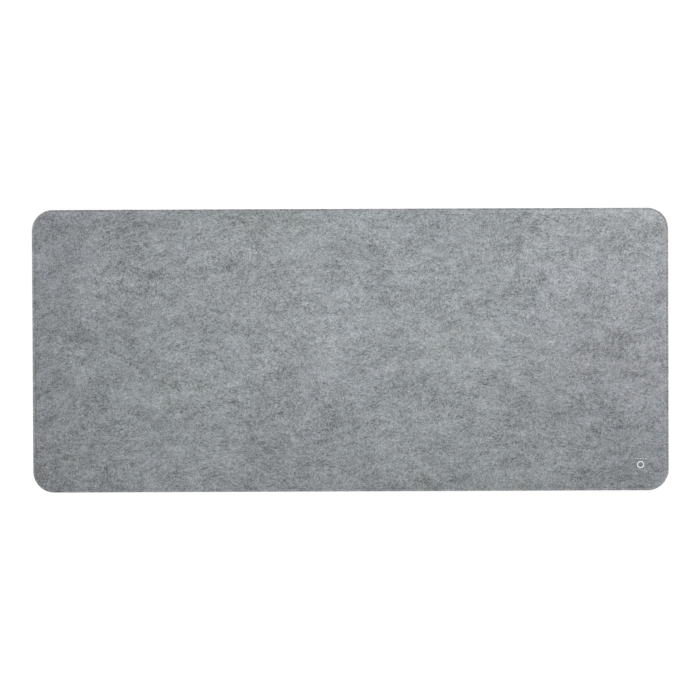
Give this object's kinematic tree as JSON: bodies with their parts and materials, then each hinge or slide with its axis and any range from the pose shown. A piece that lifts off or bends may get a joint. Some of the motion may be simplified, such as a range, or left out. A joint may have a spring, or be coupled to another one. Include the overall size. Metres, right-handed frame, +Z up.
{
  "type": "desk mat",
  "caption": "Rectangular felt desk mat with rounded corners, anti-slip rubber backing, stitched edge and a small printed corner mark.",
  "frame": {"origin": "middle of the underside, on the desk's surface", "axes": "+Z up; +X along the mat's length, to the user's right; +Y away from the user"},
  "size_m": [0.9, 0.4, 0.004],
  "materials": {
    "felt": "heather grey needle felt, matt",
    "film": "hot-melt adhesive web",
    "rubber": "matt, fine anti-slip texture",
    "thread": "polyester sewing thread",
    "print": "heat-transfer print, matt"
  },
  "bodies": {
    "root": {"felt_top": "felt", "bonding_film": "film", "rubber_base": "rubber", "needle_thread": "thread", "bobbin_thread": "thread", "mark_ring": "print", "mark_dot_1": "print", "mark_dot_2": "print", "mark_dot_3": "print", "mark_dot_4": "print", "mark_dot_5": "print"}
  },
  "joints": []
}
